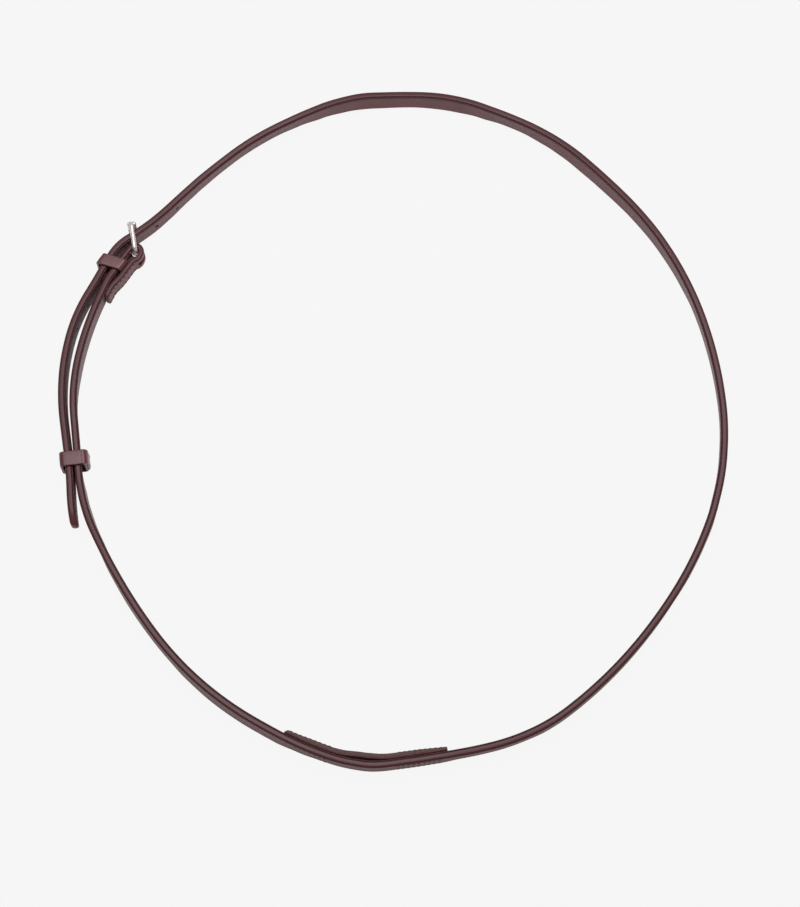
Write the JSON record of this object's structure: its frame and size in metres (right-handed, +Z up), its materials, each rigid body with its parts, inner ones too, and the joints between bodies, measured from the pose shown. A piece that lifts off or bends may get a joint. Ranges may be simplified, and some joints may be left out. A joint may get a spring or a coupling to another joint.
{
  "type": "martingale neck strap",
  "caption": "Dark brown leather neck strap of a riding martingale, buckled into a hoop, with keepers and a sewn inner loop for the body strap.",
  "frame": {"origin": "middle of the hoop's footprint, on the surface that it lies on", "axes": "+Z up, across the width of the strap; +Y towards the crown of the hoop, away from the breast, where the loop is; +X away from the buckle's side"},
  "size_m": [0.4718, 0.4984, 0.0233],
  "materials": {
    "strap_leather": "smooth dark brown bridle leather with painted edges, satin",
    "lining_leather": "smooth dark brown lining leather, satin",
    "keeper_leather": "smooth dark brown leather, satin",
    "loop_leather": "dark brown leather with a slightly rough cut edge, matt",
    "polished_steel": "polished stainless steel",
    "thread": "waxed dark brown thread"
  },
  "bodies": {
    "strap": {"neck_strap_face": "strap_leather", "neck_strap_lining": "lining_leather", "fixed_keeper": "keeper_leather", "martingale_loop": "loop_leather", "turnback_stitching": "thread", "loop_stitching_left": "thread", "loop_stitching_right": "thread"},
    "buckle": {"buckle_frame": "polished_steel"},
    "tongue": {"buckle_tongue": "polished_steel"},
    "runner": {"runner_keeper": "keeper_leather", "runner_stitching": "thread"}
  },
  "joints": [
    {"name": "buckle_swing", "type": "hinge", "parent": "strap", "child": "buckle", "pos_m": [-0.18472, 0.12398, 0.01158], "axis": [0.0063, -0.0046, 1], "range_deg": [-1, 4]},
    {"name": "tongue_swing", "type": "hinge", "parent": "buckle", "child": "tongue", "pos_m": [-0.18472, 0.12398, 0.01158], "axis": [0.0063, -0.0046, 1], "range_deg": [0, 3.5]},
    {"name": "runner_slide", "type": "slide", "parent": "strap", "child": "runner", "axis": [0.115, -0.9934, -0.0053], "range_m": [-0.016, 0.016]}
  ]
}
